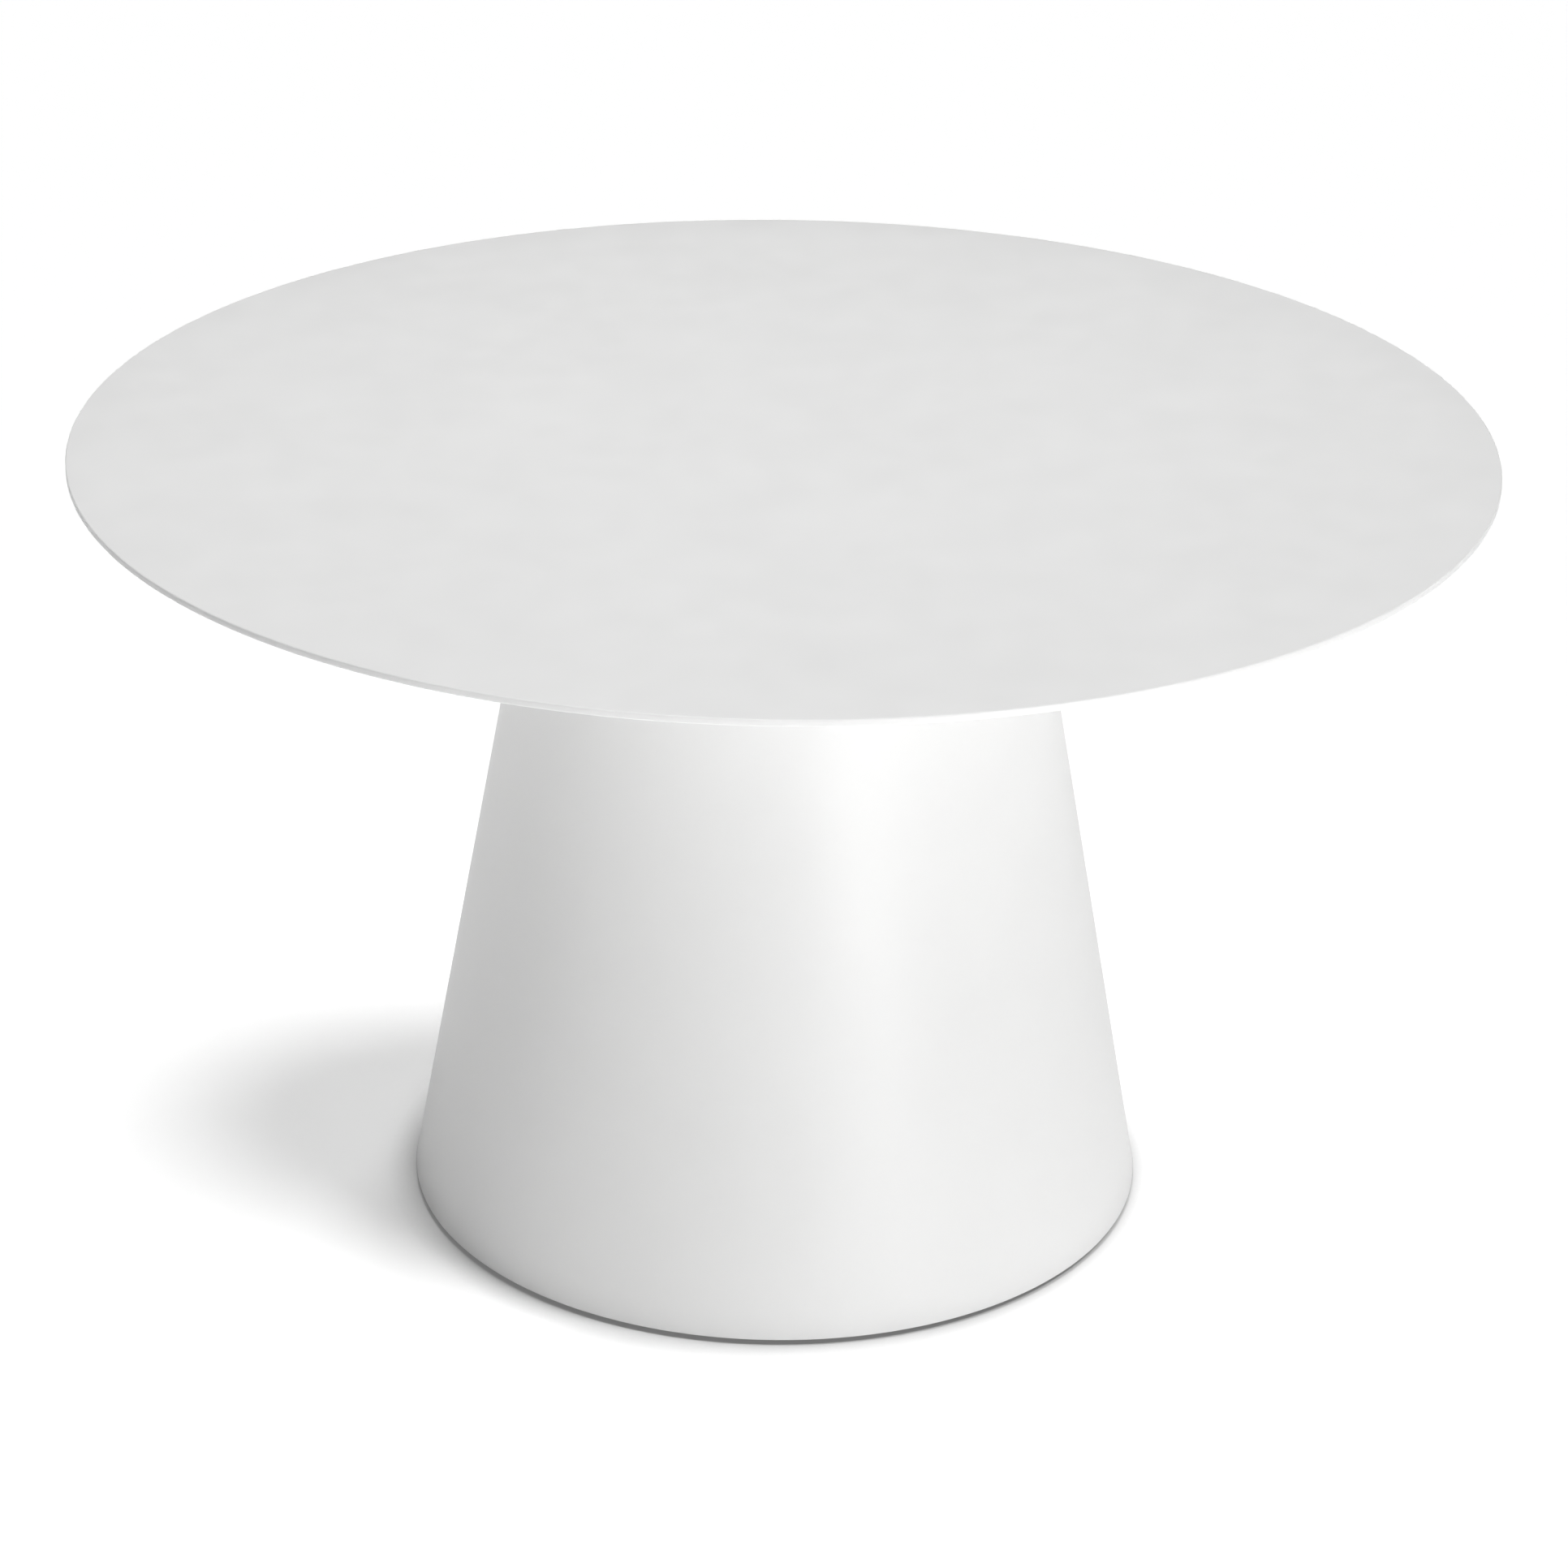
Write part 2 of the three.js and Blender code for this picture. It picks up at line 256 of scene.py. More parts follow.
def thread_rings(major, minor, pitch, low, high, segments, datum=0.0, inside=False):
    """Rings over a thread from low to high.

    At both ends, an outside thread runs out into the minor radius and an inside thread into the major one.
    """
    plain = major if inside else minor
    rows = max(int(round((high - low) / pitch * THREAD_ROWS)), 2)
    found = []
    for k in range(rows + 1):
        height = low + (high - low) * k / rows
        depth = min(1.0, (height - low) / pitch, (high - height) / pitch)

        def radius(angle, height=height, depth=depth):
            full = thread_radius(major, minor, pitch, height - datum, angle)
            return plain + (full - plain) * depth

        found.append(ring(radius, height, segments))
    return found


def hex_radius(across_flats):
    """The radius of a hexagon, as a function of the angle, with a corner at angle 0."""
    def radius(angle):
        return across_flats / 2 / math.cos((angle % (math.pi / 3)) - math.pi / 6)
    return radius


CHAMFER_SLOPE = math.tan(math.radians(30))
CHAMFER_START = 0.97  # radius at which the chamfer starts, as a share of half the width across the flats


def chamfered_hex(across_flats, low, high, segments):
    """Rings up the outside of a hexagon whose corners are turned off at both ends."""
    wide = hex_radius(across_flats)
    inner = across_flats / 2 * CHAMFER_START

    def drop(angle):
        return (wide(angle) - inner) * CHAMFER_SLOPE

    return [
        ring(inner, low, segments),
        ring(wide, lambda a: low + drop(a), segments),
        ring(wide, lambda a: high - drop(a), segments),
        ring(inner, high, segments),
    ]


# ---------------------------------------------------------------- materials

# The darker and the lighter tone of each material's clouding.
LACQUER_TONES = (0.797, 0.797, 0.794), (0.813, 0.813, 0.810)
POWDER_TONES = (0.742, 0.742, 0.739), (0.758, 0.758, 0.755)
ZINC_TONES = (0.50, 0.52, 0.55), (0.63, 0.64, 0.66)
ALLOY_TONES = (0.42, 0.40, 0.36), (0.52, 0.50, 0.46)
NYLON_TONES = (0.016, 0.016, 0.017), (0.028, 0.028, 0.029)

# The lowest and the highest roughness of each material.
LACQUER_ROUGHNESS = 0.40, 0.50
POWDER_ROUGHNESS = 0.42, 0.50
ZINC_ROUGHNESS = 0.26, 0.40
ALLOY_ROUGHNESS = 0.38, 0.52
NYLON_ROUGHNESS = 0.48, 0.62

# How deep each material's relief is.
LACQUER_WAVE_DEPTH = 0.06 * MM
LACQUER_PEEL_DEPTH = 0.012 * MM
SHEET_WAVE_DEPTH = 0.25 * MM
POWDER_PEEL_DEPTH = 0.02 * MM
METAL_GRAIN_DEPTH = 0.008 * MM
NYLON_GRAIN_DEPTH = 0.02 * MM

COAT_SPECULAR = 0.45  # of the two white coats
USUAL_NOISE = 0.3, 0.7  # the spread of most of a noise's values


def node_material(name):
    """A material with one Principled shader, and the shader, its nodes and its links."""
    material = bpy.data.materials.new(name)
    material.use_nodes = True
    nodes, links = material.node_tree.nodes, material.node_tree.links
    return material, nodes["Principled BSDF"], nodes, links


def noise(nodes, links, scale, detail, stretch=(1, 1, 1)):
    """Noise in the object's own coordinates. The scale is in cells to a metre."""
    place = nodes.new("ShaderNodeTexCoord")
    mapping = nodes.new("ShaderNodeMapping")
    mapping.inputs["Scale"].default_value = stretch
    texture = nodes.new("ShaderNodeTexNoise")
    texture.inputs["Scale"].default_value = scale
    texture.inputs["Detail"].default_value = detail
    links.new(place.outputs["Object"], mapping.inputs["Vector"])
    links.new(mapping.outputs["Vector"], texture.inputs["Vector"])
    return texture.outputs["Fac"]


def span(nodes, links, value, low, high, spread_of_value=USUAL_NOISE):
    """Maps a value's usual spread onto low to high."""
    mapped = nodes.new("ShaderNodeMapRange")
    mapped.inputs["From Min"].default_value = spread_of_value[0]
    mapped.inputs["From Max"].default_value = spread_of_value[1]
    mapped.inputs["To Min"].default_value = low
    mapped.inputs["To Max"].default_value = high
    links.new(value, mapped.inputs["Value"])
    return mapped.outputs["Result"]


def blend_colour(nodes, links, value, dark, light):
    """A colour between two others, by a value's usual spread."""
    mixed = nodes.new("ShaderNodeMix")
    mixed.data_type = "RGBA"
    mixed.inputs["A"].default_value = (*dark, 1)
    mixed.inputs["B"].default_value = (*light, 1)
    links.new(span(nodes, links, value, 0, 1), mixed.inputs["Factor"])
    return mixed.outputs["Result"]


def bump(nodes, links, layers):
    """A normal from (height, depth in metres) layers of relief, one on top of another."""
    normal = None
    for height, depth in layers:
        relief = nodes.new("ShaderNodeBump")
        relief.inputs["Strength"].default_value = 1.0
        relief.inputs["Distance"].default_value = depth
        links.new(height, relief.inputs["Height"])
        if normal is not None:
            links.new(normal, relief.inputs["Normal"])
        normal = relief.outputs["Normal"]
    return normal


def lacquer_material():
    """Satin white lacquer, sprayed on fibreboard and rubbed down."""
    material, shader, nodes, links = node_material("top_lacquer")
    cloud = noise(nodes, links, scale=9.0, detail=3.0)
    peel = noise(nodes, links, scale=420.0, detail=1.0)
    wave = noise(nodes, links, scale=28.0, detail=2.0)
    links.new(blend_colour(nodes, links, cloud, *LACQUER_TONES), shader.inputs["Base Color"])
    links.new(span(nodes, links, wave, *LACQUER_ROUGHNESS), shader.inputs["Roughness"])
    relief = bump(nodes, links, [(wave, LACQUER_WAVE_DEPTH), (peel, LACQUER_PEEL_DEPTH)])
    links.new(relief, shader.inputs["Normal"])
    shader.inputs["Specular IOR Level"].default_value = COAT_SPECULAR
    return material


def powder_material():
    """White powder coat with a fine orange peel, on sheet steel that isn't quite flat."""
    material, shader, nodes, links = node_material("powder_coat")
    cloud = noise(nodes, links, scale=6.0, detail=3.0)
    peel = noise(nodes, links, scale=520.0, detail=2.0)
    sheet = noise(nodes, links, scale=7.0, detail=1.0, stretch=(1, 1, 0.5))
    links.new(blend_colour(nodes, links, cloud, *POWDER_TONES), shader.inputs["Base Color"])
    links.new(span(nodes, links, cloud, *POWDER_ROUGHNESS), shader.inputs["Roughness"])
    relief = bump(nodes, links, [(sheet, SHEET_WAVE_DEPTH), (peel, POWDER_PEEL_DEPTH)])
    links.new(relief, shader.inputs["Normal"])
    shader.inputs["Specular IOR Level"].default_value = COAT_SPECULAR
    return material


def metal_material(name, tones, roughness, grain):
    """Plated metal, with cloudy patches and a fine grain. The grain is in cells to a metre."""
    material, shader, nodes, links = node_material(name)
    cloud = noise(nodes, links, scale=90.0, detail=4.0)
    fine = noise(nodes, links, scale=grain, detail=2.0)
    links.new(blend_colour(nodes, links, cloud, *tones), shader.inputs["Base Color"])
    links.new(span(nodes, links, cloud, *roughness), shader.inputs["Roughness"])
    links.new(bump(nodes, links, [(fine, METAL_GRAIN_DEPTH)]), shader.inputs["Normal"])
    shader.inputs["Metallic"].default_value = 1.0
    return material


def nylon_material():
    """Black moulded nylon with a fine spark-eroded texture."""
    material, shader, nodes, links = node_material("nylon")
    cloud = noise(nodes, links, scale=120.0, detail=3.0)
    grain = noise(nodes, links, scale=2600.0, detail=2.0)
    links.new(blend_colour(nodes, links, cloud, *NYLON_TONES), shader.inputs["Base Color"])
    links.new(span(nodes, links, cloud, *NYLON_ROUGHNESS), shader.inputs["Roughness"])
    links.new(bump(nodes, links, [(grain, NYLON_GRAIN_DEPTH)]), shader.inputs["Normal"])
    return material


LACQUER = lacquer_material()
POWDER = powder_material()
ZINC = metal_material("zinc_plate", ZINC_TONES, ZINC_ROUGHNESS, grain=1800.0)
ALLOY = metal_material("zinc_alloy", ALLOY_TONES, ALLOY_ROUGHNESS, grain=1400.0)
NYLON = nylon_material()


# ---------------------------------------------------------------- putting pieces in place

def finish_piece(piece, material, slot, body, *nodes):
    """Gives a piece its material and body, and hides the CAD nodes that it stands for. The slot is not used.
    """
    piece.data.materials.clear()
    piece.data.materials.append(material)
    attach(piece, body)
    if nodes:
        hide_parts(*nodes)


def turned_copy(first, name, angle):
    """A copy of a piece, turned about Z."""
    copy = bpy.data.objects.new(name, first.data.copy())
    bpy.context.scene.collection.objects.link(copy)
    copy.rotation_euler.z = angle
    return copy


def place_round(first, node, material, slot, body=None):
    """Puts a copy of a piece made about the Z axis at each of a CAD node's places round the table.

    body is the start of the name of each copy's own body. Without it, the copies are on the table's body.
    """
    for i in SPOKES:
        target = f"{node}_{i}"
        middle, angle = axis_of(target)
        copy = turned_copy(first, f"{first.name}_{i}", angle)
        copy.location = (middle.x, middle.y, 0)
        finish_piece(copy, material, slot, f"{body}_{i}" if body else TABLE_BODY, target)
    discard(first)


# ---------------------------------------------------------------- the top

BEVEL_EASE = 1.5 * MM  # the soft corner where the flat underside meets the bevel
ARRIS_STEPS = 6  # segments round each of the rim's two rounded arrises
UNDERSIDE_ROWS, BEVEL_ROWS, FACE_ROWS = 10, 4, 12  # rows of faces over each stretch of the top's surface
POCKET_GAP = 0.3 * MM
POCKET_END = 1.0 * MM  # from the end of an insert to the end of its pocket


def insert_pocket(number):
    """The solid that is cut out of the top round an insert."""
    node = f"threaded_insert_{number}"
    low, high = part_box(node)
    middle, _ = axis_of(node)
    radius = (high.y - low.y) / 2 + POCKET_GAP
    start, end = low.z - POCKET_END, high.z + POCKET_END
    pocket = turned("pocket", [(0, start), (radius, start), (radius, end), (0, end)], HOLE_SEGMENTS)
    pocket.location = (middle.x, middle.y, 0)
    return pocket


def build_top():
    """The disc, with a bevelled underside, a thin rounded rim and a blind pocket for each insert."""
    low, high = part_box("table_top")
    rim = high.x
    rim_heights = [c.z for c in corners("table_top") if c.xy.length > rim - HEIGHT_TOLERANCE]
    arris = high.z - max(rim_heights)
    rim_bottom = min(rim_heights) - arris
    flat = radii_at("table_top", low.z)[1]
    bevel = math.atan2(rim_bottom - low.z, rim - flat)
    bevel_start = (flat + BEVEL_EASE * math.cos(bevel), low.z + BEVEL_EASE * math.sin(bevel))
    lower_arris = arc((rim - arris, rim_bottom + arris), arris, math.degrees(bevel) - 90, 0, ARRIS_STEPS)
    upper_arris = arc((rim - arris, high.z - arris), arris, 0, 90, ARRIS_STEPS)
    profile = [
        (0, low.z),
        *spread((0, low.z), (flat, low.z), UNDERSIDE_ROWS),
        (flat - BEVEL_EASE, low.z),
        bevel_start,
        *spread(bevel_start, lower_arris[0], BEVEL_ROWS),
        *lower_arris,
        *upper_arris,
        *spread((rim - arris, high.z), (0, high.z), FACE_ROWS),
        (0, high.z),
    ]
    top = turned("top_panel", profile, ROUND_SEGMENTS)
    pockets = [insert_pocket(i) for i in SPOKES]
    finish_piece(cut(top, pockets), LACQUER, "top_lacquer", TABLE_BODY, "table_top")


INSERT_TOOTH = 0.3 * MM  # depth of the knurl
INSERT_GROOVE = 1.2 * MM  # width of the bottom of the groove between the knurled bands


def bolt_seat():
    """The height of the faces that the bolts' heads bear on. The bolts' threads are in step with it."""
    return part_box("bolt_washer_1")[0].z


def build_inserts():
    """Press-in sleeves with two knurled bands, threaded inside."""
    low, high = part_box(f"threaded_insert_{ON_Y_AXIS}")
    outer = (high.y - low.y) / 2
    middle = (low.z + high.z) / 2
    groove = INSERT_GROOVE

    def knurl(angle):
        tooth = round(angle / (2 * math.pi) * HARDWARE_SEGMENTS) % 2
        return outer - tooth * INSERT_TOOTH

    waist = outer - 2 * INSERT_TOOTH
    outside = [
        ring(waist, low.z, HARDWARE_SEGMENTS),
        ring(knurl, low.z + groove / 2, HARDWARE_SEGMENTS),
        ring(knurl, middle - groove, HARDWARE_SEGMENTS),
        ring(waist, middle - groove / 2, HARDWARE_SEGMENTS),
        ring(waist, middle + groove / 2, HARDWARE_SEGMENTS),
        ring(knurl, middle + groove, HARDWARE_SEGMENTS),
        ring(knurl, high.z - groove / 2, HARDWARE_SEGMENTS),
        ring(waist, high.z, HARDWARE_SEGMENTS),
    ]
    bore = thread_rings(
        BOLT_MAJOR + THREAD_GAP,
        BOLT_MINOR + THREAD_GAP,
        BOLT_PITCH,
        low.z,
        high.z,
        HARDWARE_SEGMENTS,
        datum=bolt_seat(),
        inside=True,
    )
    insert = skin("insert", outside + bore[::-1], closed=True)
    place_round(insert, "threaded_insert", ALLOY, "zinc_alloy")


# ---------------------------------------------------------------- the cone

SHEET_EASE = 0.7 * MM  # radius of the sheet's cut edges under their coat
EASE_STEPS = 5  # segments round each eased edge of the sheet
SHELL_ROWS = 28


def build_shell():
    """The cone of sheet steel, open at both ends."""
    low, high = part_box("pedestal_shell")
    foot_in, foot_out = radii_at("pedestal_shell", low.z)
    neck_in, neck_out = radii_at("pedestal_shell", high.z)
    lean = math.atan2(foot_out - neck_out, high.z - low.z)
    tilt = math.degrees(lean)
    ease = SHEET_EASE
    # The easing takes more off the sheet's acute corners (far) than off its obtuse ones (near).
    near = ease * (1 - math.sin(lean)) / math.cos(lean)
    far = ease * (1 + math.sin(lean)) / math.cos(lean)
    foot_outside = arc((foot_out - far, low.z + ease), ease, -90, tilt, EASE_STEPS)
    neck_outside = arc((neck_out - near, high.z - ease), ease, tilt, 90, EASE_STEPS)
    neck_inside = arc((neck_in + far, high.z - ease), ease, 90, 180 + tilt, EASE_STEPS)
    foot_inside = arc((foot_in + near, low.z + ease), ease, 180 + tilt, 270, EASE_STEPS)
    profile = [
        *foot_outside,
        *spread(foot_outside[-1], neck_outside[0], SHELL_ROWS),
        *neck_outside,
        *neck_inside,
        *spread(neck_inside[-1], foot_inside[0], SHELL_ROWS),
        *foot_inside,
    ]
    shell = turned("cone_shell", profile, ROUND_SEGMENTS, closed=True)
    finish_piece(shell, POWDER, "powder_coat", TABLE_BODY, "pedestal_shell")


def shell_inside(height):
    """The radius of the inside of the shell at a height."""
    low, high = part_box("pedestal_shell")
    foot, neck = radii_at("pedestal_shell", low.z)[0], radii_at("pedestal_shell", high.z)[0]
    return foot + (neck - foot) * (height - low.z) / (high.z - low.z)


PLATE_EASE = 0.4 * MM


def hole_radius(node, centre, height):
    """The radius of the hole about a point in a CAD plate, at a height."""
    return min((c.xy - centre).length for c in corners(node) if abs(c.z - height) < HEIGHT_TOLERANCE)


def build_disc(name, node, hole_node):
    """A round plate with an opening in its middle and a ring of holes."""
    low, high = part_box(node)
    opening, outer = radii_at(node, low.z)
    holes = [circle(opening, PLATE_SEGMENTS)]
    for i in SPOKES:
        middle, _ = axis_of(f"{hole_node}_{i}")
        holes.append(circle(hole_radius(node, middle, low.z), HOLE_SEGMENTS, middle))
    disc = plate(name, circle(outer, PLATE_SEGMENTS), holes, high.z - low.z, PLATE_EASE)
    disc.location.z = low.z
    finish_piece(disc, POWDER, "powder_coat", TABLE_BODY, node)


def build_gussets():
    """Webs cut from plate. The outline is read from the first gusset, which stands along +X."""
    low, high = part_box("gusset_1")
    side = [c for c in corners("gusset_1") if c.y > 0]
    middle = sum((c.xz for c in side), Vector((0, 0))) / len(side)
    found = {(round(c.x, 6), round(c.z, 6)) for c in side}
    outline = sorted(found, key=lambda p: math.atan2(p[1] - middle.y, p[0] - middle.x))
    thickness = high.y - low.y
    web = plate("gusset_web", outline, [], thickness, PLATE_EASE)
    web.data.transform(Matrix.Translation((0, thickness / 2, 0)) @ Matrix.Rotation(math.pi / 2, 4, "X"))
    for i in SPOKES:
        _, angle = axis_of(f"gusset_{i}")
        copy = turned_copy(web, f"gusset_web_{i}", angle)
        finish_piece(copy, POWDER, "powder_coat", TABLE_BODY, f"gusset_{i}")
    discard(web)


# ---------------------------------------------------------------- weld beads

BEAD_STEP = 0.5 * MM
BEAD_SIDES = 8
BEAD_RIPPLE = 2.5 * MM  # from one ripple of a bead to the next
RIPPLE_SIZE = 0.08  # share of the bead's radius
BEAD_UNEVENNESS = 0.015  # share of the bead's radius
BEAD_NOSE = 0.6  # from a bead's pole to its first ring, in steps


def add_bead(bm, points, radius, reference, rng):
    """Adds a rippled bead along evenly spaced points. reference gives, for a point, a direction that the bead
    doesn't run along."""
    rings = []
    count = len(points)
    offset = rng.random()
    for k, point in enumerate(points):
        along = (points[min(k + 1, count - 1)] - points[max(k - 1, 0)]).normalized()
        side = along.cross(reference(point)).normalized()
        normal = side.cross(along)
        ripple = math.sin(2 * math.pi * (k * BEAD_STEP / BEAD_RIPPLE + offset))
        from_end = (min(k, count - 1 - k) + BEAD_NOSE) * BEAD_STEP
        taper = min(1.0, from_end / radius) ** 0.5
        size = radius * taper * (1 + RIPPLE_SIZE * ripple + BEAD_UNEVENNESS * rng.uniform(-1, 1))
        rings.append([point + size * (math.cos(a) * side + math.sin(a) * normal) for a in angles(BEAD_SIDES)])
    add_skin(bm, [[points[0]], *rings, [points[-1]]])


def line(start, end):
    """A bead's points along a straight line."""
    steps = max(int((end - start).length / BEAD_STEP), 4)
    return [start.lerp(end, k / steps) for k in range(steps + 1)]


def around(radius, height, start, end):
    """A bead's points along an arc round Z."""
    steps = max(int(radius * abs(end - start) / BEAD_STEP), 4)
    return [turn(radius, height, start + (end - start) * k / steps) for k in range(steps + 1)]


def upright(_):
    """The reference for a bead that runs level."""
    return Vector((0, 0, 1))


def outward(point):
    """The reference for a bead that runs up a wall."""
    return Vector((point.x, point.y, 0)).normalized()


STITCH_COUNT = 12
STITCH_LENGTH = 45 * MM
FILLET_RADIUS = 2.2 * MM
GUSSET_BEAD_RADIUS = FILLET_RADIUS * 0.85
GUSSET_BEAD_MARGIN = 6 * MM  # from the ends of a bead to the ends of the corner that it fills
SEAM_BEAD_RADIUS = 1.6 * MM
SEAM_MARGIN = 4 * MM  # from the seam's bead to the plates
SEAM_ANGLE = math.radians(90)  # the sheet's one seam is at the back


def add_stitches(bm, radius, height, rng):
    """Adds a ring of short beads, evenly spaced, clear of the gussets."""
    half = STITCH_LENGTH / radius / 2
    for k in range(STITCH_COUNT):
        middle = 2 * math.pi * (k + 0.5) / STITCH_COUNT
        add_bead(bm, around(radius, height, middle - half, middle + half), FILLET_RADIUS, upright, rng)


def build_ring_welds():
    """The stitches that hold the neck plate and the foot ring in the shell, along their lower faces."""
    rng = random.Random(11)
    for name, node in (("neck_welds", "neck_plate"), ("foot_welds", "foot_ring")):
        bm = bmesh.new()
        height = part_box(node)[0].z
        add_stitches(bm, shell_inside(height) - FILLET_RADIUS / 4, height, rng)
        finish_piece(from_bmesh(name, bm), POWDER, "powder_coat", TABLE_BODY)


def build_gusset_welds():
    """Two beads on each side of each gusset, along the neck plate and down the shell."""
    rng = random.Random(23)
    low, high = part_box("gusset_1")
    half = (high.y - low.y) / 2
    margin = GUSSET_BEAD_MARGIN
    bm = bmesh.new()
    for i in SPOKES:
        spin = Matrix.Rotation(axis_of(f"gusset_{i}")[1], 3, "Z")
        for side in (-half, half):
            plate_start = Vector((low.x + margin, side, high.z))
            plate_end = Vector((shell_inside(high.z) - margin, side, high.z))
            wall_start = Vector((shell_inside(high.z - margin), side, high.z - margin))
            wall_end = Vector((shell_inside(low.z + margin), side, low.z + margin))
            for start, end, reference in ((plate_start, plate_end, upright), (wall_start, wall_end, outward)):
                add_bead(bm, line(spin @ start, spin @ end), GUSSET_BEAD_RADIUS, reference, rng)
    finish_piece(from_bmesh("gusset_welds", bm), POWDER, "powder_coat", TABLE_BODY)


def build_seam_weld():
    """The bead inside the seam of the rolled sheet. Outside, it is ground flush."""
    rng = random.Random(5)
    foot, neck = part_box("foot_ring")[1].z + SEAM_MARGIN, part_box("neck_plate")[0].z - SEAM_MARGIN
    start = turn(shell_inside(foot), foot, SEAM_ANGLE)
    end = turn(shell_inside(neck), neck, SEAM_ANGLE)
    bm = bmesh.new()
    add_bead(bm, line(start, end), SEAM_BEAD_RADIUS, outward, rng)
    finish_piece(from_bmesh("seam_weld", bm), POWDER, "powder_coat", TABLE_BODY)


# ---------------------------------------------------------------- bolts, washers and nuts

BOLT_NECK = 1.0 * MM  # plain length under the head
HEAD_CROWN = 0.54  # radius of the flat of the head, as a share of the head's
HEAD_EDGE = 1.2 * MM  # height of the upright edge round the head
HEAD_EASE = 0.25 * MM
DOME_STEPS = 6
SOCKET_FLATS = 5.0 * MM
SOCKET_DEPTH = 2.6 * MM
SOCKET_POINT = 0.8 * MM  # height of the cone that the drill left at the end of the socket
SOCKET_LEAD = 0.35 * MM
SOCKET_MOUTH = 0.62  # radius of the socket's countersunk mouth, as a share of its flats
WASHER_CLEARANCE = 0.3 * MM
WASHER_ROLL = 0.35 * MM  # radius of the stamped edge
WASHER_STEPS = 3
NUT_LEAD = 0.4 * MM  # height of the countersink at each end of a nut
NUT_BEAD_RADIUS = 1.3 * MM
NUT_BEAD_LENGTH = 6.8 * MM
NUT_BEAD_COUNT = 3


def build_bolts():
    """Button-head screws with a hexagon socket."""
    low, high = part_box(f"mounting_bolt_{ON_Y_AXIS}")
    seat = bolt_seat()
    head = (high.y - low.y) / 2
    crown, edge = head * HEAD_CROWN, seat - HEAD_EDGE
    socket = hex_radius(SOCKET_FLATS)
    bottom = low.z + SOCKET_DEPTH
    count = HARDWARE_SEGMENTS
    dome = [
        ring(crown + (head - crown) * math.sin(a), edge - (edge - low.z) * math.cos(a), count)
        for a in (math.pi / 2 * k / DOME_STEPS for k in range(DOME_STEPS + 1))
    ]
    thread_low, thread_high = seat + BOLT_NECK, high.z - TIP_CHAMFER
    rings = [
        [Vector((0, 0, bottom + SOCKET_POINT))],
        ring(socket, bottom, count),
        ring(socket, low.z + SOCKET_LEAD, count),
        ring(SOCKET_FLATS * SOCKET_MOUTH, low.z, count),
        *dome,
        ring(head, seat - HEAD_EASE, count),
        ring(head - HEAD_EASE, seat, count),
        ring(BOLT_MAJOR, seat, count),
        *thread_rings(BOLT_MAJOR, BOLT_MINOR, BOLT_PITCH, thread_low, thread_high, count, datum=seat),
        ring(BOLT_MINOR - TIP_DROP, high.z, count),
        [Vector((0, 0, high.z))],
    ]
    place_round(skin("bolt", rings), "mounting_bolt", ZINC, "zinc_plate")


def build_washers():
    """Stamped washers, rounded on one side and square on the other."""
    low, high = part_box(f"bolt_washer_{ON_Y_AXIS}")
    outer = (high.y - low.y) / 2
    bore = BOLT_MAJOR + WASHER_CLEARANCE
    roll = WASHER_ROLL
    profile = [
        (bore, low.z),
        (outer - roll, low.z),
        *arc((outer - roll, low.z + roll), roll, -60, 0, WASHER_STEPS),
        (outer, high.z),
        (bore + roll / 2, high.z),
        (bore, high.z - roll / 2),
    ]
    washer = turned("washer", profile, HARDWARE_SEGMENTS * 2, closed=True)
    place_round(washer, "bolt_washer", ZINC, "zinc_plate")


def build_weld_nuts():
    """Hexagon nuts with a countersink at each end of their thread."""
    low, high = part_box("weld_nut_1")
    flats = high.y - low.y
    outside = chamfered_hex(flats, low.z, high.z, HARDWARE_SEGMENTS)
    bore = thread_rings(
        STUD_MAJOR + THREAD_GAP,
        STUD_MINOR + THREAD_GAP,
        STUD_PITCH,
        low.z + NUT_LEAD,
        high.z - NUT_LEAD,
        HARDWARE_SEGMENTS,
        inside=True,
    )
    mouth = STUD_MAJOR + 3 * THREAD_GAP
    inside = [ring(mouth, high.z, HARDWARE_SEGMENTS), *bore[::-1], ring(mouth, low.z, HARDWARE_SEGMENTS)]
    nut = skin("weld_nut_hex", outside + inside, closed=True)
    place_round(nut, "weld_nut", POWDER, "powder_coat")


def build_nut_welds():
    """Three short beads at the foot of each nut, on every second flat."""
    rng = random.Random(31)
    low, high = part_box("weld_nut_1")
    apothem = (high.y - low.y) / 2
    bm = bmesh.new()
    for i in SPOKES:
        middle, angle = axis_of(f"weld_nut_{i}")
        for k in range(NUT_BEAD_COUNT):
            facing = angle + math.pi / 6 + 2 * math.pi * k / NUT_BEAD_COUNT
            centre = Vector((middle.x, middle.y, low.z)) + turn(apothem, 0, facing)
            along = turn(NUT_BEAD_LENGTH / 2, 0, facing + math.pi / 2)
            add_bead(bm, line(centre - along, centre + along), NUT_BEAD_RADIUS, upright, rng)
    finish_piece(from_bmesh("nut_welds", bm), POWDER, "powder_coat", TABLE_BODY)


# ---------------------------------------------------------------- levelling glides

STUD_EASE = 0.3 * MM
SOLE_EASE = 1.4 * MM  # radius of the rolled edge of a pad's sole
SOLE_STEPS = 5
PAD_EASE = 0.5 * MM  # radius of a pad's other edges
PAD_STEPS = 4


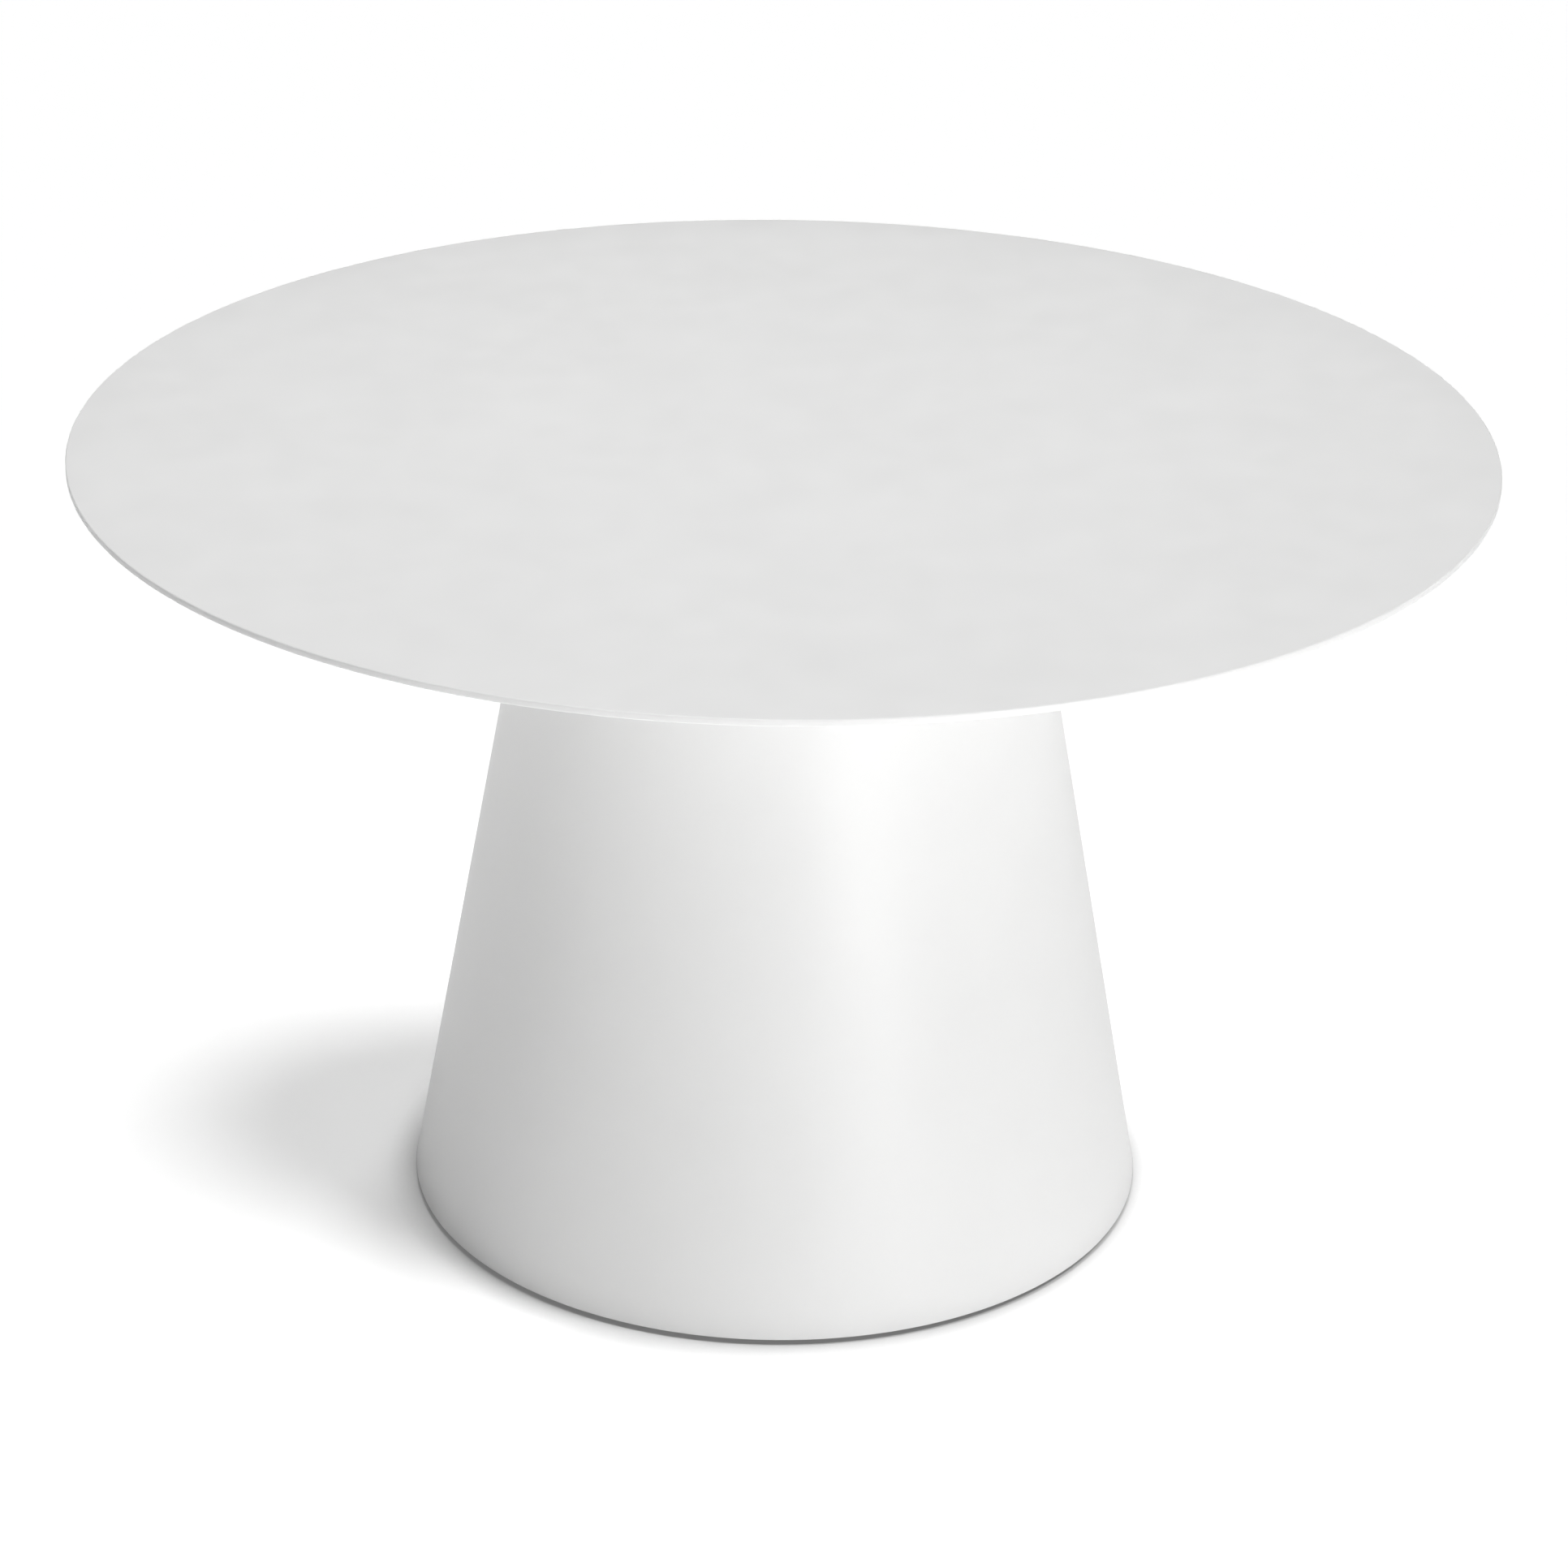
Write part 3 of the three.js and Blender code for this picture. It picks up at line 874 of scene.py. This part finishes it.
def build_studs():
    """Studs with a flange that the pad holds, a chamfered hexagon and a rolled thread."""
    low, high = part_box("glide_stud_1")
    ring_low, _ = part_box("foot_ring")
    found = corners("glide_stud_1")
    middle, _ = axis_of("glide_stud_1")
    flats = high.y - low.y
    wide = [c.z for c in found if (c.xy - middle).length > flats / 2]
    collar_low, collar_high = min(wide), max(wide)
    flange = max((c.xy - middle).length for c in found if abs(c.z - low.z) < HEIGHT_TOLERANCE)
    flange_top = min(c.z for c in found if c.z > low.z + HEIGHT_TOLERANCE)
    count = HARDWARE_SEGMENTS
    ease = STUD_EASE
    thread_low, thread_high = ring_low.z, high.z - TIP_CHAMFER
    rings = [
        [Vector((0, 0, low.z))],
        ring(flange - ease, low.z, count),
        ring(flange, low.z + ease, count),
        ring(flange, flange_top - ease, count),
        ring(flange - ease, flange_top, count),
        ring(STUD_MAJOR, flange_top, count),
        ring(STUD_MAJOR, collar_low, count),
        *chamfered_hex(flats, collar_low, collar_high, count),
        ring(STUD_MINOR, collar_high, count),
        *thread_rings(STUD_MAJOR, STUD_MINOR, STUD_PITCH, thread_low, thread_high, count),
        ring(STUD_MINOR - TIP_DROP, high.z, count),
        [Vector((0, 0, high.z))],
    ]
    place_round(skin("stud", rings), "glide_stud", ZINC, "zinc_plate", body="glide_stud")


def build_pads():
    """Moulded feet: a sole with a rolled edge, a sloping top and a hub round the stud's flange."""
    node = "glide_pad_1"
    low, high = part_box(node)
    middle, _ = axis_of(node)
    spots = [((c.xy - middle).length, c.z) for c in corners(node)]
    outer = max(r for r, _ in spots)
    rim = max(z for r, z in spots if r > outer - HEIGHT_TOLERANCE)
    neck = min(r for r, z in spots if abs(z - high.z) < HEIGHT_TOLERANCE)
    hub = max(r for r, z in spots if abs(z - high.z) < HEIGHT_TOLERANCE)
    shoulder = min(z for r, z in spots if abs(r - hub) < HEIGHT_TOLERANCE)
    inside = sorted({round(z, 6) for r, z in spots if neck + HEIGHT_TOLERANCE < r < hub - HEIGHT_TOLERANCE})
    cavity_low, cavity_high = inside[0], inside[-1]
    cavity = max(r for r, z in spots if abs(z - cavity_low) < HEIGHT_TOLERANCE and r < hub)
    soft = PAD_EASE
    profile = [
        (0, low.z),
        (outer / 2, low.z),
        *arc((outer - SOLE_EASE, low.z + SOLE_EASE), SOLE_EASE, -90, 0, SOLE_STEPS),
        *arc((outer - soft, rim - soft), soft, 0, 80, PAD_STEPS),
        (hub + soft * 2, shoulder),
        (hub + soft / 4, shoulder + soft),
        (hub, shoulder + soft * 2),
        *arc((hub - soft, high.z - soft), soft, 0, 90, PAD_STEPS),
        (neck + soft / 2, high.z),
        (neck, high.z - soft / 2),
        (neck, cavity_high),
        (cavity, cavity_high),
        (cavity, cavity_low),
        (0, cavity_low),
    ]
    place_round(turned("pad", profile, PAD_SEGMENTS), "glide_pad", NYLON, "nylon", body="glide_pad")


# ---------------------------------------------------------------- studio

FLOOR_SIZE = 60.0
FLOOR_TONE = 0.93
FLOOR_ROUGHNESS = 0.9
FLOOR_GLOW = 0.12  # the floor is a light table, lit faintly from below
PAINTED_SHADOW_REACH = 42 * MM  # how far the painted shadow round the cone's foot spreads over the floor
PAINTED_SHADOW_TONE = 0.45  # the darkest part of that painted shadow, as a share of the floor's tone
PAINTED_SHADOW_SPREAD = 0.5, 0.97  # how open the floor is where the painted shadow is darkest, and where it ends
PAINTED_SHADOW_SAMPLES = 16

BACKDROP_RADIUS = 25.0
BACKDROP_HEIGHT = 40.0
BACKDROP_SEGMENTS = 64

WORLD_STRENGTH = 0.08
LAMP_TARGET = Vector((0, 0, 0.4))
# Softboxes that light the table: name, azimuth, elevation, distance, side of the square, watts.
SOFTBOXES = (
    ("overhead", 0, 90, 4.0, 2.0, 141),
    ("key", 31, -3, 2.6, 0.8, 30),
    ("side_light", 118, 5, 4.0, 1.6, 13),
)
RIM_LIGHT = ("rim_light", 6, 1, 4.0, 1.6, 22)  # the same, for the top's thin rim only
# Wide lamps that light the floor: name, azimuth, elevation, spread in degrees, strength.
FLOOR_LAMPS = (
    ("floor_key", 79, 60.5, 17, 2.04),
    ("floor_back_right", 133, 71, 8, 0.48),
    ("floor_back", 180, 72, 8, 0.52),
)
FLOOR_LAMP_DISTANCE = 4.0


def floor_material():
    """A plain white light table. Its colour is darkened where something stands close over it, a painted
    contact shadow.
    """
    material, shader, nodes, links = node_material("studio_floor")
    # Painted shadow: the floor's colour is darkened by how closed-in the floor is, standing in for the shadow
    # round the cone's foot.
    openness = nodes.new("ShaderNodeAmbientOcclusion")
    openness.samples = PAINTED_SHADOW_SAMPLES
    openness.inputs["Distance"].default_value = PAINTED_SHADOW_REACH
    shade = span(nodes, links, openness.outputs["AO"], PAINTED_SHADOW_TONE, 1.0, PAINTED_SHADOW_SPREAD)
    tone = nodes.new("ShaderNodeMath")
    tone.operation = "MULTIPLY"
    tone.inputs[1].default_value = FLOOR_TONE
    links.new(shade, tone.inputs[0])
    links.new(tone.outputs["Value"], shader.inputs["Base Color"])
    shader.inputs["Roughness"].default_value = FLOOR_ROUGHNESS
    shader.inputs["Specular IOR Level"].default_value = 0.0
    shader.inputs["Emission Color"].default_value = (1, 1, 1, 1)
    shader.inputs["Emission Strength"].default_value = FLOOR_GLOW
    return material


def build_floor():
    """The flat floor. The table stands on it at z = 0."""
    bm = bmesh.new()
    half = FLOOR_SIZE / 2
    corner_points = (-half, -half), (half, -half), (half, half), (-half, half)
    bm.faces.new([bm.verts.new((x, y, 0)) for x, y in corner_points])
    floor = from_bmesh("floor", bm)
    floor.data.materials.append(floor_material())
    return floor


def backdrop_material():
    """White that gives its own light."""
    material, shader, _, _ = node_material("backdrop")
    shader.inputs["Base Color"].default_value = (0, 0, 0, 1)
    shader.inputs["Emission Color"].default_value = (1, 1, 1, 1)
    shader.inputs["Emission Strength"].default_value = 1.0
    return material


def build_backdrop():
    """A plain white wall round the studio, for low views. It gives the table no light."""
    wall = turned("backdrop", [(BACKDROP_RADIUS, 0), (BACKDROP_RADIUS, BACKDROP_HEIGHT)], BACKDROP_SEGMENTS)
    wall.data.materials.append(backdrop_material())
    wall.visible_diffuse = wall.visible_glossy = wall.visible_shadow = False


def build_world():
    """A faint, even white light from all round."""
    world = bpy.data.worlds.new("studio")
    world.use_nodes = True
    background = world.node_tree.nodes["Background"]
    background.inputs["Color"].default_value = (1, 1, 1, 1)
    background.inputs["Strength"].default_value = WORLD_STRENGTH
    bpy.context.scene.world = world


def towards(azimuth, elevation):
    """The direction of a lamp, in degrees. Azimuth 0 is the camera's side, and it grows towards the right."""
    a, e = math.radians(azimuth), math.radians(elevation)
    return Vector((math.sin(a) * math.cos(e), -math.cos(a) * math.cos(e), math.sin(e)))


def link_set(name, thing, state):
    """A set for light linking that includes or excludes one object."""
    made = bpy.data.collections.new(name)
    made.objects.link(thing)
    made.collection_objects[0].light_linking.link_state = state
    return made


def add_lamp(name, kind, away, distance, energy, receivers, blockers):
    """A lamp that points at the table, lights the receivers and is shaded by the blockers."""
    data = bpy.data.lights.new(name, kind)
    data.energy = energy
    lamp = bpy.data.objects.new(name, data)
    bpy.context.scene.collection.objects.link(lamp)
    lamp.location = LAMP_TARGET + away * distance
    lamp.rotation_euler = (-away).to_track_quat("-Z", "Y").to_euler()
    lamp.visible_camera = False
    lamp.light_linking.receiver_collection = receivers
    lamp.light_linking.blocker_collection = blockers
    return data


def add_softbox(name, azimuth, elevation, distance, side, watts, receivers, blockers):
    """A square lamp with soft edges to its shadows."""
    box = add_lamp(name, "AREA", towards(azimuth, elevation), distance, watts, receivers, blockers)
    box.shape, box.size = "SQUARE", side


def build_lamps(floor, top):
    """The lamps. The top shades none of them, so it casts no shadow on the floor or on the cone."""
    all_but_top = link_set("all_but_top", top, "EXCLUDE")
    all_but_floor = link_set("all_but_floor", floor, "EXCLUDE")
    floor_only = link_set("floor_only", floor, "INCLUDE")
    top_only = link_set("top_only", top, "INCLUDE")
    for softbox in SOFTBOXES:
        add_softbox(*softbox, all_but_floor, all_but_top)
    add_softbox(*RIM_LIGHT, top_only, all_but_top)
    for name, azimuth, elevation, width, strength in FLOOR_LAMPS:
        away = towards(azimuth, elevation)
        lamp = add_lamp(name, "SUN", away, FLOOR_LAMP_DISTANCE, strength, floor_only, all_but_top)
        lamp.angle = math.radians(width)


def build_studio():
    """The floor, the backdrop and the lights. Colours are shown as they are, with no film look."""
    floor = build_floor()
    build_backdrop()
    build_world()
    build_lamps(floor, bpy.data.objects["top_panel"])
    bpy.context.scene.view_settings.view_transform = "Standard"


def build_camera():
    """The camera, in front of the table and above it, rolled slightly."""
    data = bpy.data.cameras.new("camera")
    data.sensor_width = SENSOR_WIDTH
    data.lens = FOCAL_LENGTH
    data.clip_end = VIEW_DEPTH
    camera = bpy.data.objects.new("camera", data)
    bpy.context.scene.collection.objects.link(camera)
    forward = Vector((0, math.cos(CAMERA_ELEVATION), -math.sin(CAMERA_ELEVATION)))
    right = Vector((1, 0, 0))
    up = right.cross(forward)
    turned_right = math.cos(CAMERA_ROLL) * right + math.sin(CAMERA_ROLL) * up
    turned_up = math.cos(CAMERA_ROLL) * up - math.sin(CAMERA_ROLL) * right
    axes = Matrix((turned_right, turned_up, -forward)).transposed().to_4x4()
    camera.matrix_world = Matrix.Translation(CAMERA_TARGET - forward * CAMERA_DISTANCE) @ axes
    bpy.context.scene.camera = camera


build_top()
build_inserts()
build_shell()
build_disc("neck_disc", "neck_plate", "mounting_bolt")
build_disc("foot_disc", "foot_ring", "glide_stud")
build_gussets()
build_ring_welds()
build_gusset_welds()
build_seam_weld()
build_bolts()
build_washers()
build_weld_nuts()
build_nut_welds()
build_studs()
build_pads()
build_studio()
build_camera()
